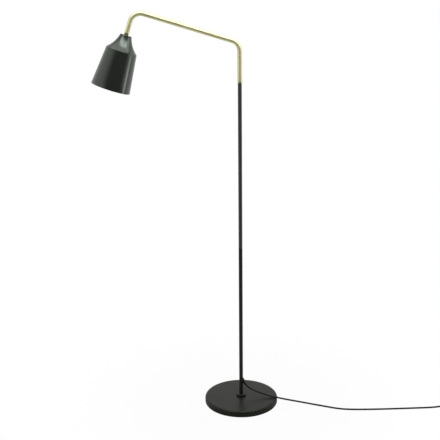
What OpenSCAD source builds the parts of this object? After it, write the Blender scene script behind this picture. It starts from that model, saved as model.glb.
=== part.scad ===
// Floor lamp: weighted round base, two-piece pole, bent brass swing arm and a spun bell shade.
// Millimetres. Origin: centre of the base's underside, on the floor. +Z up, arm towards -X.

/* [Base] */
// Outer diameter of the base
base_d = 282; // [240:1:340]
// Height of the base's top above the floor
base_h = 23.5; // [20:0.5:30]
// Rounding of the base cover's top edge
base_edge_r = 7.5; // [3:0.5:9]
// Sheet thickness of the base cover
cover_wall = 1.2; // [0.8:0.1:2]
// Thickness of the felt under the base
felt_t = 2; // [1:0.5:3]
// Distance from the cover's rim to the felt's rim
felt_inset = 1.5; // [1:0.5:12]
// Diameter of the collar at the pole's foot
collar_d = 37; // [28:1:50]
// Height of the collar at the pole's foot
collar_h = 7.5; // [6:0.5:12]

/* [Pole] */
// Outer diameter of both pole tubes
pole_d = 14.5; // [13:0.5:15]
// Wall of both pole tubes
pole_wall = 1.4; // [1.2:0.1:1.5]
// Length of the lower pole tube
lower_pole_l = 597; // [450:1:800]
// Length of the upper pole tube
upper_pole_l = 615; // [450:1:800]
// Bevel at the pole tubes' ends
pole_bevel = 0.5; // [0.2:0.1:0.8]
// Height at which the cord's gland meets the pole's axis
gland_z = 99; // [92:1:115]

/* [Swivel] */
// Length of the bush that the arm turns on
bush_l = 30; // [22:1:45]
// Wall of the bush
bush_wall = 2; // [1.6:0.1:2.4]
// Thickness of the friction washer under the arm
friction_t = 1; // [0.6:0.1:2]
// Diameter of the stop pin
stop_pin_d = 2.5; // [2:0.1:3]
// Width of the bush's stop lug, in degrees
stop_lug_a = 20; // [10:1:40]

/* [Arm] */
// Outer diameter of the brass tube
arm_d = 17.6; // [16.5:0.1:20]
// Wall of the brass tube
arm_wall = 1; // [0.8:0.1:1.2]
// Height of the first bend's corner above the tube's lower end
arm_upright_l = 136; // [120:1:200]
// Length of the slanted run, from corner to corner
arm_slant_l = 386; // [250:1:500]
// Rise of the slanted run above horizontal, in degrees
arm_rise = 17.2; // [5:0.1:30]
// Bend radius of the tube's centre line
arm_bend_r = 38; // [32:1:50]
// Length of the drop, from the second bend's corner to the tube's end
arm_drop_l = 80.2; // [70:0.1:140]
// Lean of the shade's axis from vertical, in degrees
shade_lean = 18.7; // [5:0.1:30]
// Height of the dark ring between the tube's end and the shade
gasket_t = 7; // [4:0.5:10]

/* [Shade] */
// Diameter of the shade's neck
neck_d = 40.6; // [38:0.2:48]
// Diameter at the shoulder's sharp edge
shoulder_d = 110; // [100:0.5:130]
// Diameter of the mouth
mouth_d = 141.4; // [132:0.2:170]
// Height of the flare from the neck to the shoulder
flare_h = 55.5; // [50:0.5:70]
// Overall height of the shade
shade_h = 193.5; // [175:0.5:230]
// Angle of the flare at the neck, in degrees
flare_a = 14; // [8:0.5:18]
// Sheet thickness of the shade
shade_wall = 1; // [0.8:0.1:1.4]
// Rounding of the neck's top edge
neck_edge_r = 1.5; // [0.8:0.1:2.5]
// Height of the folded hem inside the mouth
hem_h = 5; // [3:0.5:8]

/* [Lampholder] */
// Outer diameter of the lampholder
holder_d = 38; // [36:0.5:40]
// Wall of the lampholder
holder_wall = 2.5; // [2:0.1:3]
// Height of the lampholder's cap
cap_h = 30; // [26:1:34]
// Height of the lampholder's body
holder_h = 38; // [36:1:42]
// Diameter of the bulb's screw cap
bulb_cap_d = 26.4; // [26:0.1:27]
// Diameter of the bulb's globe
globe_d = 60; // [50:1:66]
// Length of the bulb's glass
glass_l = 80; // [72:1:88]

/* [Cord] */
// Diameter of the cord
cord_d = 6.6; // [5.6:0.1:7]
// Length of the in-line switch
switch_l = 76; // [68:1:90]
// Width of the in-line switch
switch_w = 32; // [28:1:34]
// Height of the in-line switch's lower shell
switch_base_h = 8; // [7:0.5:10]
// Height of the in-line switch's upper shell
switch_cover_h = 10; // [9:0.5:12]
// Diameter of the switch's button
button_d = 18; // [14:0.5:20]
// Travel of the switch's button
button_travel = 3; // [2:0.5:4]
// Width of the plug's body
plug_w = 35; // [33:0.5:38]
// Thickness of the plug's body
plug_t = 13.7; // [13:0.1:15]
// Distance between the plug's pins
pin_pitch = 18.6; // [17.5:0.1:19]
// Distance between neighbouring turns of the coil
coil_pitch = 7.2; // [7.2:0.1:8]

/* [Hidden] */
$fn = 96;

// Clearances
fit_gap = 0.1;
run_gap = 0.05;
face_gap = 0.1;
free_gap = 0.3;
eps = 0.01;

// Finishes
black = [0.14, 0.15, 0.13];
brass = [0.80, 0.74, 0.52];
steel = [0.62, 0.63, 0.64];
iron = [0.28, 0.28, 0.28];
rubber = [0.06, 0.06, 0.06];
copper = [0.72, 0.45, 0.30];
ivory = [0.93, 0.92, 0.88];

// Base stack
stud_d = pole_d - 2 * pole_wall - 2 * fit_gap;
lead_d = 5;
lead_bore_d = lead_d + 1.5;
stud_in_pole = 28;
recess_d = 40;
washer_t = 2;
nut_h = 6;
stud_tail = 1;
recess_h = washer_t + nut_h + stud_tail + 0.5;
recess_top_z = felt_t + recess_h;
base_washer_d = 32;
nut_af = 17;
weight_top_z = base_h - cover_wall;
weight_r = base_d / 2 - cover_wall - free_gap;
pole_seat = 3;
pole_z0 = base_h + collar_h - pole_seat;
collar_edge_r = 1.5;

// Pole heights
joint_z = pole_z0 + lower_pole_l;
pole_top_z = joint_z + upper_pole_l;
joiner_l = 44;

// Swivel stack, upwards from the top of the pole
spindle_flange_h = 3;
spindle_thread_l = 20;
flange_top_z = pole_top_z + spindle_flange_h;
arm_z0 = flange_top_z + friction_t + face_gap;
arm_bore_d = arm_d - 2 * arm_wall;
bush_d = arm_bore_d - 2 * run_gap;
journal_d = bush_d - 2 * bush_wall - 2 * run_gap;
bush_bore_d = journal_d + 2 * run_gap;
stop_h = stop_pin_d + 2 * free_gap;
stop_r = bush_d / 2 - 0.7;
stop_z = arm_z0 + bush_l - stop_h / 2;
thrust_t = 1;
thrust_z = arm_z0 + bush_l + face_gap;
thrust_d = bush_d - 2 * free_gap;
ring_t = 1.2;
ring_z = thrust_z + thrust_t + face_gap;
groove_depth = 0.8;
spindle_top_z = ring_z + ring_t + 4;
lead_split_z = spindle_top_z + 1;

// Arm path: each bend is a hair thicker than the runs and laps over their ends
bend_swell = 0.05;
bend_lap = 0.5;
bend_a1 = 90 - arm_rise;
bend_a2 = 90 + arm_rise - shade_lean;
cut_1 = arm_bend_r * tan(bend_a1 / 2);
cut_2 = arm_bend_r * tan(bend_a2 / 2);
upright_run = arm_upright_l - cut_1;
slant_run = arm_slant_l - cut_1 - cut_2;
drop_run = arm_drop_l - cut_2;

// Shade stack, along the shade's axis from the tube's end towards the mouth
gasket_d = arm_d - 3;
end_bush_l = 14;
nipple_d = 10;
nipple_bore_d = lead_bore_d;
nipple_up = 12;
shade_z0 = gasket_t;
lock_t = 0.8;
lock_z = shade_z0 + shade_wall;
shade_nut_h = 3.2;
shade_nut_z = lock_z + lock_t;
shade_nut_af = 14;
cap_z = shade_nut_z + shade_nut_h + face_gap;
cap_hub_d = 18;
cap_hub_h = 12;
nipple_end_z = cap_z + cap_hub_h - 1;
lead_end_z = nipple_end_z + 3;
holder_z = cap_z + cap_h;
plate_t = 4;
shell_wall = 0.5;
shell_d = bulb_cap_d + 2 * free_gap + 2 * shell_wall;
shell_l = 26;
contact_h = 2;
tip_z = holder_z + plate_t + contact_h;
tip_h = 1.5;
insulator_h = 3;
bulb_cap_z = tip_z + tip_h + insulator_h;
bulb_cap_l = 24;
glass_z = bulb_cap_z + bulb_cap_l - 4;
glass_wall = 1;
glass_neck_d = bulb_cap_d - 2.4;
globe_z = glass_l - globe_d / 2;

// Cord, switch and plug
exit_point = [17.2, -4.1, 71.5];
cord_sides = 10;
run_steps = 2;
floor_gap = 0.05;
lie_z = cord_d / 2 + floor_gap;
switch_y = -122;
switch_x = 782;
switch_wall = 2;
switch_edge_r = 3;
switch_entry_z = 7;
relief_l = 12;
relief_d = cord_d + 3;
switch_mid_x = switch_x + switch_l / 2;
switch_top_z = switch_base_h + switch_cover_h;
button_proud = button_travel + 1;
button_lip = 1.5;
button_lip_h = 1.6;
core_gap = 1;
tie_t = 0.7;
tie_w = 9;
coil_turns = 5.5;
coil_loop_rings = 24;
coil_sides = 6;
coil_in_r = 4 * cord_d;
coil_out_r = coil_in_r + coil_pitch * coil_turns / 2;
coil_x = 920;
coil_y = switch_y + coil_out_r;
coil_z = cord_d / 2 + tie_t + 0.2;
coil_end_l = cord_d;
link_x0 = switch_x + switch_l + relief_l;
tail_y = coil_y + coil_out_r;
tail_x0 = coil_x - coil_end_l;
plug_z = plug_t / 2 + floor_gap;
plug_relief_l = 24;
plug_body_l = 38;
pin_d = 4;
pin_l = 19;
pin_root = 6;
plug_x1 = tail_x0 - 44;
plug_x0 = plug_x1 - plug_relief_l - plug_body_l;

// Route of the cord from the gland to the switch, each point [x, y, z]
run_route = [
  exit_point, [20, -4.8, 67.8], [23.2, -5.5, 64.3], [27, -6.4, 60.9], [32.2, -7.7, 57], [38.4, -9.1, 53],
  [46.5, -10.9, 48.9], [60, -13.9, 43.5], [76, -17.5, 38.3], [92, -21.8, 33.5], [108, -26.8, 29.6],
  [122, -32, 28], [134, -36, 26.6], [148, -39.4, 24], [164, -42, 21], [184, -44.9, 17.5],
  [206, -48.4, 14.1], [230, -52.8, 10.6], [256, -58.6, 7.2], [280, -65.8, 4.8], [305, -75, 3.5],
  [330, -87, lie_z], [354, -98, lie_z], [381, -107.5, lie_z], [410, -113, lie_z], [445, -116.5, lie_z],
  [490, -119, lie_z], [540, -120.5, lie_z], [590, -121.2, lie_z], [640, -121.6, lie_z], [685, -121.8, lie_z],
  [715, -122, 3.6], [740, -122, 4.8], [758, -122, 6.5], [764, -122, 7], [770, -122, 7]
];

// Short cord lengths, from the switch to the coil and from the coil to the plug
link_route = [
  [link_x0, switch_y, switch_entry_z],
  [link_x0 + cord_d, switch_y, switch_entry_z],
  [link_x0 + 15, switch_y, 0.7 * switch_entry_z + 0.3 * coil_z],
  [coil_x - coil_end_l - 15, switch_y, 0.3 * switch_entry_z + 0.7 * coil_z],
  [coil_x - coil_end_l - cord_d, switch_y, coil_z],
  [coil_x - coil_end_l, switch_y, coil_z]
];
tail_top_z = coil_z + coil_pitch;
tail_route = [
  [tail_x0, tail_y, tail_top_z],
  [tail_x0 - cord_d, tail_y, tail_top_z],
  [tail_x0 - 15, tail_y, 0.7 * tail_top_z + 0.3 * plug_z],
  [plug_x1 + 15, tail_y, 0.3 * tail_top_z + 0.7 * plug_z],
  [plug_x1 + cord_d, tail_y, plug_z],
  [plug_x1, tail_y, plug_z]
];

// Smooth curve through a list of points, with a number of steps between neighbours
function curve_at(a, b, c, d, t) =
  0.5 * (2 * b + (c - a) * t + (2 * a - 5 * b + 4 * c - d) * t * t + (3 * b - a - 3 * c + d) * t * t * t);
function smooth(p, steps) = [
  for (i = [0 : len(p) - 2])
    for (k = [0 : steps - 1])
      let (
        a = i == 0 ? 2 * p[0] - p[1] : p[i - 1],
        d = i == len(p) - 2 ? 2 * p[i + 1] - p[i] : p[i + 2]
      )
      curve_at(a, p[i], p[i + 1], d, k / steps),
  p[len(p) - 1]
];

// Unit tangents of a point list, and a level side vector square to each
function unit(v) = v / norm(v);
function tangent(p, i) =
  unit(p[min(i + 1, len(p) - 1)] - p[max(i - 1, 0)]);
function side_of(t) = unit(cross([0, 0, 1], t));

// Closed tube along a point list
module tube_along(p, d, sides) {
  n = len(p);
  rings = [
    for (i = [0 : n - 1])
      let (t = tangent(p, i), s = side_of(t), u = cross(t, s))
      for (k = [0 : sides - 1])
        p[i] + d / 2 * (cos(360 * (k + 0.5) / sides) * s + sin(360 * (k + 0.5) / sides) * u)
  ];
  walls = [
    for (i = [0 : n - 2])
      for (k = [0 : sides - 1])
        let (a = i * sides + k, b = i * sides + (k + 1) % sides)
        each [[a, a + sides, b], [b, a + sides, b + sides]]
  ];
  first = [for (k = [1 : sides - 2]) [0, k, k + 1]];
  last = [for (k = [1 : sides - 2]) [(n - 1) * sides, (n - 1) * sides + k + 1, (n - 1) * sides + k]];
  polyhedron(points = rings, faces = concat(walls, first, last), convexity = 10);
}

// Coil of cord: spirals in, climbs one layer in the half turn where it reverses, and spirals out
function coil_point(t) =
  let (
    r = coil_in_r + coil_pitch * abs(t - coil_turns / 2),
    climb = min(max((t - coil_turns / 2) / 0.5 + 0.5, 0), 1),
    a = 360 * t - 90
  )
  [coil_x + r * cos(a), coil_y + r * sin(a), coil_z + coil_pitch * climb];
coil_steps = coil_turns * coil_loop_rings;
coil_turn_points = [for (i = [0 : coil_steps]) coil_point(i / coil_loop_rings)];
coil_points = concat(
  [coil_turn_points[0] - [coil_end_l, 0, 0]],
  coil_turn_points,
  [coil_turn_points[coil_steps] - [coil_end_l, 0, 0]]
);
coil_gap = min([
  for (i = [0 : coil_steps - coil_loop_rings / 2])
    for (j = [i + coil_loop_rings / 2 : coil_steps])
      norm(coil_turn_points[i] - coil_turn_points[j])
]) - cord_d;
echo(coil_gap = coil_gap);

// Plain helpers
module disc(d, h, bore = 0) {
  difference() {
    cylinder(d = d, h = h);
    if (bore > 0) translate([0, 0, -1]) cylinder(d = bore, h = h + 2);
  }
}
module bevelled_tube(d, bore, l, bevel) {
  difference() {
    rotate_extrude()
      polygon([[0, 0], [d / 2 - bevel, 0], [d / 2, bevel], [d / 2, l - bevel], [d / 2 - bevel, l], [0, l]]);
    translate([0, 0, -1]) cylinder(d = bore, h = l + 2);
  }
}
module hex_nut(af, bore, h) {
  difference() {
    cylinder(d = af / cos(30), h = h, $fn = 6);
    translate([0, 0, -1]) cylinder(d = bore, h = h + 2);
  }
}

// Places along the arm: a straight run up +Z, then a bend towards -X
module after_bend(a) {
  translate([arm_bend_r * (cos(a) - 1), 0, arm_bend_r * sin(a)]) rotate([0, -a, 0]) children();
}
module at_slant() {
  translate([0, 0, arm_z0 + upright_run]) after_bend(bend_a1) children();
}
module at_drop() {
  at_slant() translate([0, 0, slant_run]) after_bend(bend_a2) children();
}
module at_neck() {
  at_drop() translate([0, 0, drop_run]) children();
}
module ring_section(d, bore) {
  difference() {
    circle(d = d);
    if (bore > 0) circle(d = bore);
  }
}
module bend(d, bore, a) {
  swollen_bore = bore > 0 ? bore - 2 * bend_swell : 0;
  translate([-arm_bend_r, 0, 0]) rotate([90, 0, 0]) rotate([0, 0, -bend_lap])
    rotate_extrude(angle = a + 2 * bend_lap)
      translate([arm_bend_r, 0]) ring_section(d + 2 * bend_swell, swollen_bore);
}
module straight(d, bore, l) {
  linear_extrude(height = l) ring_section(d, bore);
}
module arm_path(d, bore, start, finish) {
  translate([0, 0, arm_z0 + start]) straight(d, bore, upright_run - start);
  translate([0, 0, arm_z0 + upright_run]) bend(d, bore, bend_a1);
  at_slant() straight(d, bore, slant_run);
  at_slant() translate([0, 0, slant_run]) bend(d, bore, bend_a2);
  at_drop() straight(d, bore, drop_run + finish);
}

// Base
module base_felt() {
  color(rubber) cylinder(d = base_d - 2 * felt_inset, h = felt_t);
}
module base_weight() {
  top = weight_top_z;
  inner_r = base_edge_r + 1;
  color(iron) difference() {
    rotate_extrude()
      polygon([
        [0, felt_t], [weight_r, felt_t], [weight_r, top - inner_r], [weight_r - inner_r, top], [0, top]
      ]);
    translate([0, 0, felt_t - 1]) cylinder(d = recess_d, h = recess_h + 1);
    translate([0, 0, felt_t]) cylinder(d = stud_d + 2 * free_gap, h = base_h);
  }
}
module base_cover() {
  r = base_d / 2;
  inner_edge = base_edge_r - cover_wall;
  color(black) difference() {
    rotate_extrude() {
      translate([0, felt_t]) square([r, base_h - felt_t - base_edge_r]);
      square_top = r - base_edge_r;
      translate([0, base_h - base_edge_r]) square([square_top, base_edge_r]);
      intersection() {
        translate([r - base_edge_r, base_h - base_edge_r]) circle(r = base_edge_r);
        translate([r - base_edge_r, base_h - base_edge_r]) square(base_edge_r);
      }
    }
    rotate_extrude() {
      ri = r - cover_wall;
      translate([0, felt_t - 1]) square([ri, base_h - felt_t - base_edge_r + 1]);
      translate([0, base_h - base_edge_r - 1]) square([ri - inner_edge, inner_edge + 1]);
      intersection() {
        translate([ri - inner_edge, base_h - base_edge_r]) circle(r = inner_edge);
        translate([ri - inner_edge, base_h - base_edge_r]) square(inner_edge);
      }
    }
    translate([0, 0, felt_t]) cylinder(d = stud_d + 2 * free_gap, h = base_h);
  }
}
module foot_collar() {
  r = collar_d / 2;
  e = collar_edge_r;
  color(black) difference() {
    translate([0, 0, base_h]) rotate_extrude() {
      square([r, collar_h - e]);
      square([r - e, collar_h]);
      translate([r - e, collar_h - e]) circle(r = e);
    }
    translate([0, 0, base_h - 1]) cylinder(d = stud_d + 2 * free_gap, h = collar_h + 2);
    translate([0, 0, pole_z0]) cylinder(d = pole_d + 2 * fit_gap, h = collar_h);
  }
}
module base_stud() {
  z0 = recess_top_z - washer_t - nut_h - stud_tail;
  color(steel) translate([0, 0, z0]) disc(stud_d, pole_z0 + stud_in_pole - z0, lead_bore_d);
}
module base_washer() {
  color(steel) translate([0, 0, recess_top_z - washer_t]) disc(base_washer_d, washer_t, stud_d + 2 * fit_gap);
}
module base_nut() {
  color(steel) translate([0, 0, recess_top_z - washer_t - nut_h]) hex_nut(nut_af, stud_d + 2 * fit_gap, nut_h);
}

// Pole
gland_axis = unit(exit_point - [0, 0, gland_z]);
gland_len = norm(exit_point - [0, 0, gland_z]);
gland_tilt = acos(gland_axis.z);
gland_turn = atan2(gland_axis.y, gland_axis.x);
gland_neck_d = cord_d + 1.4;
gland_root_d = pole_d - 0.5;
gland_tip_d = cord_d + 3.4;
gland_root_l = 2.5;
groove_count = 4;
groove_pitch = 3.2;
groove_w = 1.4;
groove_t = 0.6;
groove_l0 = gland_len - 14.4;
function boot_r(l) =
  (gland_root_d + (gland_tip_d - gland_root_d) * (l - gland_root_l) / (gland_len - gland_root_l)) / 2;
module along_gland() {
  translate([0, 0, gland_z]) rotate([0, gland_tilt, gland_turn]) children();
}
module lower_pole() {
  color(black) difference() {
    translate([0, 0, pole_z0]) bevelled_tube(pole_d, pole_d - 2 * pole_wall, lower_pole_l, pole_bevel);
    along_gland() cylinder(d = gland_neck_d + 2 * fit_gap, h = gland_len);
  }
}
module gland_boot() {
  rotate_extrude($fn = 60)
    polygon(concat(
      [[0, gland_root_l], [boot_r(gland_root_l), gland_root_l]],
      [for (i = [0 : groove_count - 1])
        let (l = groove_l0 + i * groove_pitch, r = boot_r(l))
        each [[r, l], [r - groove_t, l], [r - groove_t, l + groove_w], [boot_r(l + groove_w), l + groove_w]]],
      [[boot_r(gland_len - 0.8), gland_len - 0.8], [boot_r(gland_len) - 0.7, gland_len], [0, gland_len]]
    ));
}
module cord_gland() {
  color(rubber) {
    difference() {
      along_gland() gland_boot();
      translate([0, 0, gland_z - 60]) cylinder(d = pole_d + 2 * fit_gap, h = 120);
    }
    along_gland() cylinder(d = gland_neck_d, h = gland_len - 6);
  }
}
module pole_joiner() {
  color(steel) translate([0, 0, joint_z - joiner_l / 2]) disc(stud_d, joiner_l, lead_bore_d);
}
module upper_pole() {
  color(black) translate([0, 0, joint_z])
    bevelled_tube(pole_d, pole_d - 2 * pole_wall, upper_pole_l, pole_bevel);
}
module pole_lead() {
  z0 = gland_z + gland_neck_d / 2 * sin(gland_tilt) + free_gap;
  color(rubber) translate([0, 0, z0]) cylinder(d = lead_d, h = lead_split_z - face_gap - z0);
}

// Swivel
module swivel_spindle() {
  color(brass) difference() {
    union() {
      translate([0, 0, pole_top_z - spindle_thread_l]) cylinder(d = stud_d, h = spindle_thread_l + eps);
      translate([0, 0, pole_top_z]) cylinder(d = pole_d, h = spindle_flange_h);
      translate([0, 0, flange_top_z - eps]) cylinder(d = journal_d, h = spindle_top_z - flange_top_z + eps);
    }
    translate([0, 0, pole_top_z - spindle_thread_l - 1])
      cylinder(d = lead_bore_d, h = spindle_top_z - pole_top_z + spindle_thread_l + 2);
    translate([0, 0, ring_z - run_gap]) disc(journal_d + 2, ring_t + 2 * run_gap, journal_d - 2 * groove_depth);
    translate([0, 0, stop_z]) rotate([0, 90, 0]) cylinder(d = stop_pin_d + 2 * run_gap, h = journal_d);
  }
}
module friction_washer() {
  color(rubber) translate([0, 0, flange_top_z]) disc(arm_d - 1, friction_t, journal_d + 2 * fit_gap);
}
module stop_pin() {
  r0 = lead_bore_d / 2 + fit_gap;
  color(steel) translate([r0, 0, stop_z]) rotate([0, 90, 0])
    cylinder(d = stop_pin_d, h = stop_r - free_gap - r0);
}
module thrust_washer() {
  color(steel) translate([0, 0, thrust_z]) disc(thrust_d, thrust_t, journal_d + 2 * fit_gap);
}
module retaining_ring() {
  bore = journal_d - 2 * groove_depth + 2 * run_gap;
  color(steel) translate([0, 0, ring_z]) rotate([0, 0, 120])
    rotate_extrude(angle = 300) translate([bore / 2, 0]) square([(thrust_d - 0.6 - bore) / 2, ring_t]);
}
module arm_bush() {
  lug = stop_lug_a;
  color(brass) difference() {
    translate([0, 0, arm_z0]) disc(bush_d, bush_l, bush_bore_d);
    translate([0, 0, arm_z0 + bush_l - stop_h]) rotate([0, 0, 180 + lug / 2])
      rotate_extrude(angle = 360 - lug) square([stop_r, stop_h + 1]);
  }
}

// Arm
module arm_tube() {
  color(brass) arm_path(arm_d, arm_bore_d, 0, 0);
}
module end_bush() {
  color(brass) at_neck() translate([0, 0, -end_bush_l])
    disc(arm_bore_d - 2 * run_gap, end_bush_l, nipple_d + 2 * fit_gap);
}
module arm_lead() {
  color(rubber) arm_path(lead_d, 0, lead_split_z - arm_z0, lead_end_z);
}
module neck_gasket() {
  color(rubber) at_neck() disc(gasket_d, gasket_t, nipple_d + 2 * fit_gap);
}
module neck_nipple() {
  color(brass) at_neck() translate([0, 0, -nipple_up]) disc(nipple_d, nipple_up + nipple_end_z, nipple_bore_d);
}

// Shade: outer arc from the neck to the shoulder, then a straight cone to the mouth
neck_r = neck_d / 2;
shoulder_r = shoulder_d / 2;
mouth_r = mouth_d / 2;
flare_end_a = 2 * atan((shoulder_r - neck_r) / flare_h) - flare_a;
flare_R = flare_h / (sin(flare_end_a) - sin(flare_a));
flare_cr = neck_r + flare_R * cos(flare_a);
flare_cz = -flare_R * sin(flare_a);
cone_a = atan((mouth_r - shoulder_r) / (shade_h - flare_h));
flare_steps = 20;
function flare_at(R, a) = [flare_cr - R * cos(a), flare_cz + R * sin(a)];
function flare(R, a, b) = [for (i = [0 : flare_steps]) flare_at(R, a + (b - a) * i / flare_steps)];
inner_R = flare_R + shade_wall;
inner_a0 = asin((shade_wall - flare_cz) / inner_R);
miter = 1 + cos(flare_end_a - cone_a);
inner_shoulder_z = flare_h + shade_wall * (sin(flare_end_a) + sin(cone_a)) / miter;
inner_a1 = asin((inner_shoulder_z - flare_cz) / inner_R);
edge_a = asin((neck_edge_r - flare_cz) / flare_R);
edge_at = flare_at(flare_R, edge_a);
inner_mouth_r = mouth_r - shade_wall / cos(cone_a);
module shade_shell() {
  hem_t = shade_wall;
  hem_r = hem_h * tan(cone_a);
  color(black) at_neck() translate([0, 0, shade_z0]) difference() {
    rotate_extrude()
      polygon(concat(
        [[0, 0], [edge_at.x - neck_edge_r, 0]],
        [for (i = [1 : 5]) edge_at + neck_edge_r * [cos(90 - 18 * i) - 1, -sin(90 - 18 * i)]],
        [for (p = flare(flare_R, edge_a, flare_end_a)) if (p != edge_at) p],
        [[mouth_r, shade_h], [inner_mouth_r - hem_t, shade_h], [inner_mouth_r - hem_t - hem_r, shade_h - hem_h],
         [inner_mouth_r - hem_r, shade_h - hem_h]],
        [for (i = [0 : flare_steps]) flare_at(inner_R, inner_a1 + (inner_a0 - inner_a1) * i / flare_steps)],
        [[0, shade_wall]]
      ));
    translate([0, 0, -1]) cylinder(d = nipple_d + 2 * fit_gap, h = shade_wall + 2);
  }
}
module shade_washer() {
  color(steel) at_neck() translate([0, 0, lock_z]) disc(nipple_d + 8, lock_t, nipple_d + 2 * fit_gap);
}
module shade_nut() {
  color(brass) at_neck() translate([0, 0, shade_nut_z]) hex_nut(shade_nut_af, nipple_d + 2 * fit_gap, shade_nut_h);
}

// Lampholder and bulb
module holder_cap() {
  r = holder_d / 2;
  w = holder_wall;
  hub_r = cap_hub_d / 2;
  color(rubber) at_neck() translate([0, 0, cap_z]) rotate_extrude()
    polygon([
      [nipple_d / 2 + fit_gap, 0], [hub_r, 0], [r - 2, cap_h * 0.4], [r, cap_h * 0.5], [r, cap_h],
      [r - w, cap_h], [r - w, cap_h * 0.5 + 1], [hub_r + 1, cap_hub_h * 0.5], [hub_r - 2, cap_hub_h * 0.5],
      [hub_r - 2, cap_hub_h], [nipple_d / 2 + fit_gap, cap_hub_h]
    ]);
}
module holder_body() {
  r = holder_d / 2;
  w = holder_wall;
  color(rubber) at_neck() translate([0, 0, holder_z]) difference() {
    union() {
      cylinder(r = r, h = holder_h);
      translate([0, 0, holder_h - 6]) cylinder(r = r + 1, h = 4);
    }
    translate([0, 0, plate_t]) cylinder(d = shell_d + 2 * fit_gap, h = holder_h);
    translate([0, 0, shell_l + plate_t]) cylinder(r = r - w, h = holder_h);
    translate([0, 0, -1]) for (s = [-1, 1]) translate([8 * s, 0, 0]) cylinder(d = 3, h = plate_t + 2);
  }
}
module screw_shell() {
  color(brass) at_neck() translate([0, 0, holder_z + plate_t]) disc(shell_d, shell_l, shell_d - 2 * shell_wall);
}
module centre_contact() {
  color(copper) at_neck() translate([0, 0, holder_z + plate_t]) {
    cylinder(d = 8, h = contact_h - face_gap);
    cylinder(d = 14, h = 0.6);
  }
}
module bulb_tip() {
  color(steel) at_neck() translate([0, 0, tip_z]) cylinder(d1 = 6, d2 = 9, h = tip_h);
}
module bulb_insulator() {
  color(rubber) at_neck() translate([0, 0, tip_z + tip_h]) cylinder(d1 = 12, d2 = bulb_cap_d - 5, h = insulator_h);
}
module bulb_cap() {
  r = bulb_cap_d / 2;
  color(steel) at_neck() translate([0, 0, bulb_cap_z]) rotate_extrude()
    polygon([
      [0, 0], [r - 2.5, 0], [r - 0.2, 2.5], [r - 0.2, bulb_cap_l - 6], [r, bulb_cap_l - 4], [r, bulb_cap_l],
      [r - 0.6, bulb_cap_l], [r - 0.6, bulb_cap_l - 4.2], [0, bulb_cap_l - 4.2]
    ]);
}
glass_neck_r = glass_neck_d / 2;
globe_r = globe_d / 2;
globe_a0 = 125;
globe_join = [globe_r * sin(globe_a0), globe_z + globe_r * cos(globe_a0)];
function neck_blend(t) =
  glass_neck_r + (globe_join.x - glass_neck_r) * t * t * (3 - 2 * t) * 0.5
  + (globe_join.x - glass_neck_r) * t * t * 0.5;
function glass_outline(inset) = concat(
  [for (i = [0 : 10]) let (t = i / 10) [neck_blend(t) - inset, globe_join.y * t]],
  [for (i = [1 : 16]) let (a = globe_a0 * (1 - i / 16))
    [(globe_r - inset) * sin(a), globe_z + (globe_r - inset) * cos(a)]]
);
module bulb_glass() {
  outer = glass_outline(0);
  inner = glass_outline(glass_wall);
  n = len(inner);
  color(ivory) at_neck() translate([0, 0, glass_z]) rotate_extrude()
    polygon(concat(outer, [for (i = [0 : n - 1]) inner[n - 1 - i]]));
}

// Cord from the gland to the switch
module cord_run() {
  color(rubber) tube_along(smooth(run_route, run_steps), cord_d, cord_sides);
}

// In-line switch: round-ended shells from a half section turned at each end and drawn along the middle
module round_ended(l, w) {
  half = l / 2 - w / 2;
  for (s = [-1, 1])
    translate([s * half, 0, 0]) rotate([0, 0, 90 - 180 * (s + 1) / 2]) rotate_extrude(angle = 180) children();
  translate([-half, 0, 0]) rotate([90, 0, 90]) linear_extrude(height = 2 * half) {
    children();
    mirror([1, 0]) children();
  }
}
module cover_section(r, h, e) {
  square([r, h - e]);
  square([r - e, h]);
  intersection() {
    translate([r - e, h - e]) circle(r = e);
    translate([r - e, h - e]) square(e);
  }
}
module at_switch(z) {
  translate([switch_mid_x, switch_y, z]) children();
}
module switch_reliefs() {
  for (s = [-1, 1])
    at_switch(switch_entry_z) rotate([0, 90 * s, 0]) translate([0, 0, switch_l / 2 - 4])
      cylinder(d1 = relief_d, d2 = cord_d + 1, h = relief_l + 4);
}
module switch_base() {
  r = switch_w / 2;
  w = switch_wall;
  color(rubber) {
    difference() {
      union() {
        at_switch(floor_gap) round_ended(switch_l, switch_w) square([r, switch_base_h - floor_gap]);
        intersection() {
          switch_reliefs();
          at_switch(0) translate([-switch_l, -switch_w, 0]) cube([2 * switch_l, 2 * switch_w, switch_base_h]);
        }
      }
      at_switch(floor_gap + w) round_ended(switch_l - 2 * w, switch_w - 2 * w) square([r - w, switch_base_h]);
      for (s = [-1, 1])
        at_switch(-1) translate([s * (switch_l / 2 - 12), 0, 0]) cylinder(d = 3.4, h = switch_base_h);
    }
    at_switch(floor_gap + w - eps)
      translate([-8, -6, 0]) cube([16, 12, switch_top_z - switch_wall - button_lip_h - button_travel - core_gap - w]);
  }
}
module switch_cover() {
  r = switch_w / 2;
  w = switch_wall;
  color(rubber) difference() {
    union() {
      at_switch(switch_base_h) round_ended(switch_l, switch_w) cover_section(r, switch_cover_h, switch_edge_r);
      intersection() {
        switch_reliefs();
        at_switch(switch_base_h) translate([-switch_l, -switch_w, 0]) cube([2 * switch_l, 2 * switch_w, 20]);
      }
    }
    at_switch(switch_base_h - 1) round_ended(switch_l - 2 * w, switch_w - 2 * w)
      square([r - w, switch_cover_h - w + 1]);
    at_switch(switch_base_h) cylinder(d = button_d + 2 * free_gap, h = switch_cover_h + 1);
  }
}
module switch_button() {
  z0 = switch_top_z - switch_wall - face_gap - button_lip_h;
  color(black) at_switch(z0) {
    cylinder(d = button_d + 2 * button_lip, h = button_lip_h);
    rotate_extrude() cover_section(button_d / 2, switch_top_z + button_proud - z0, 1.5);
  }
}
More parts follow.
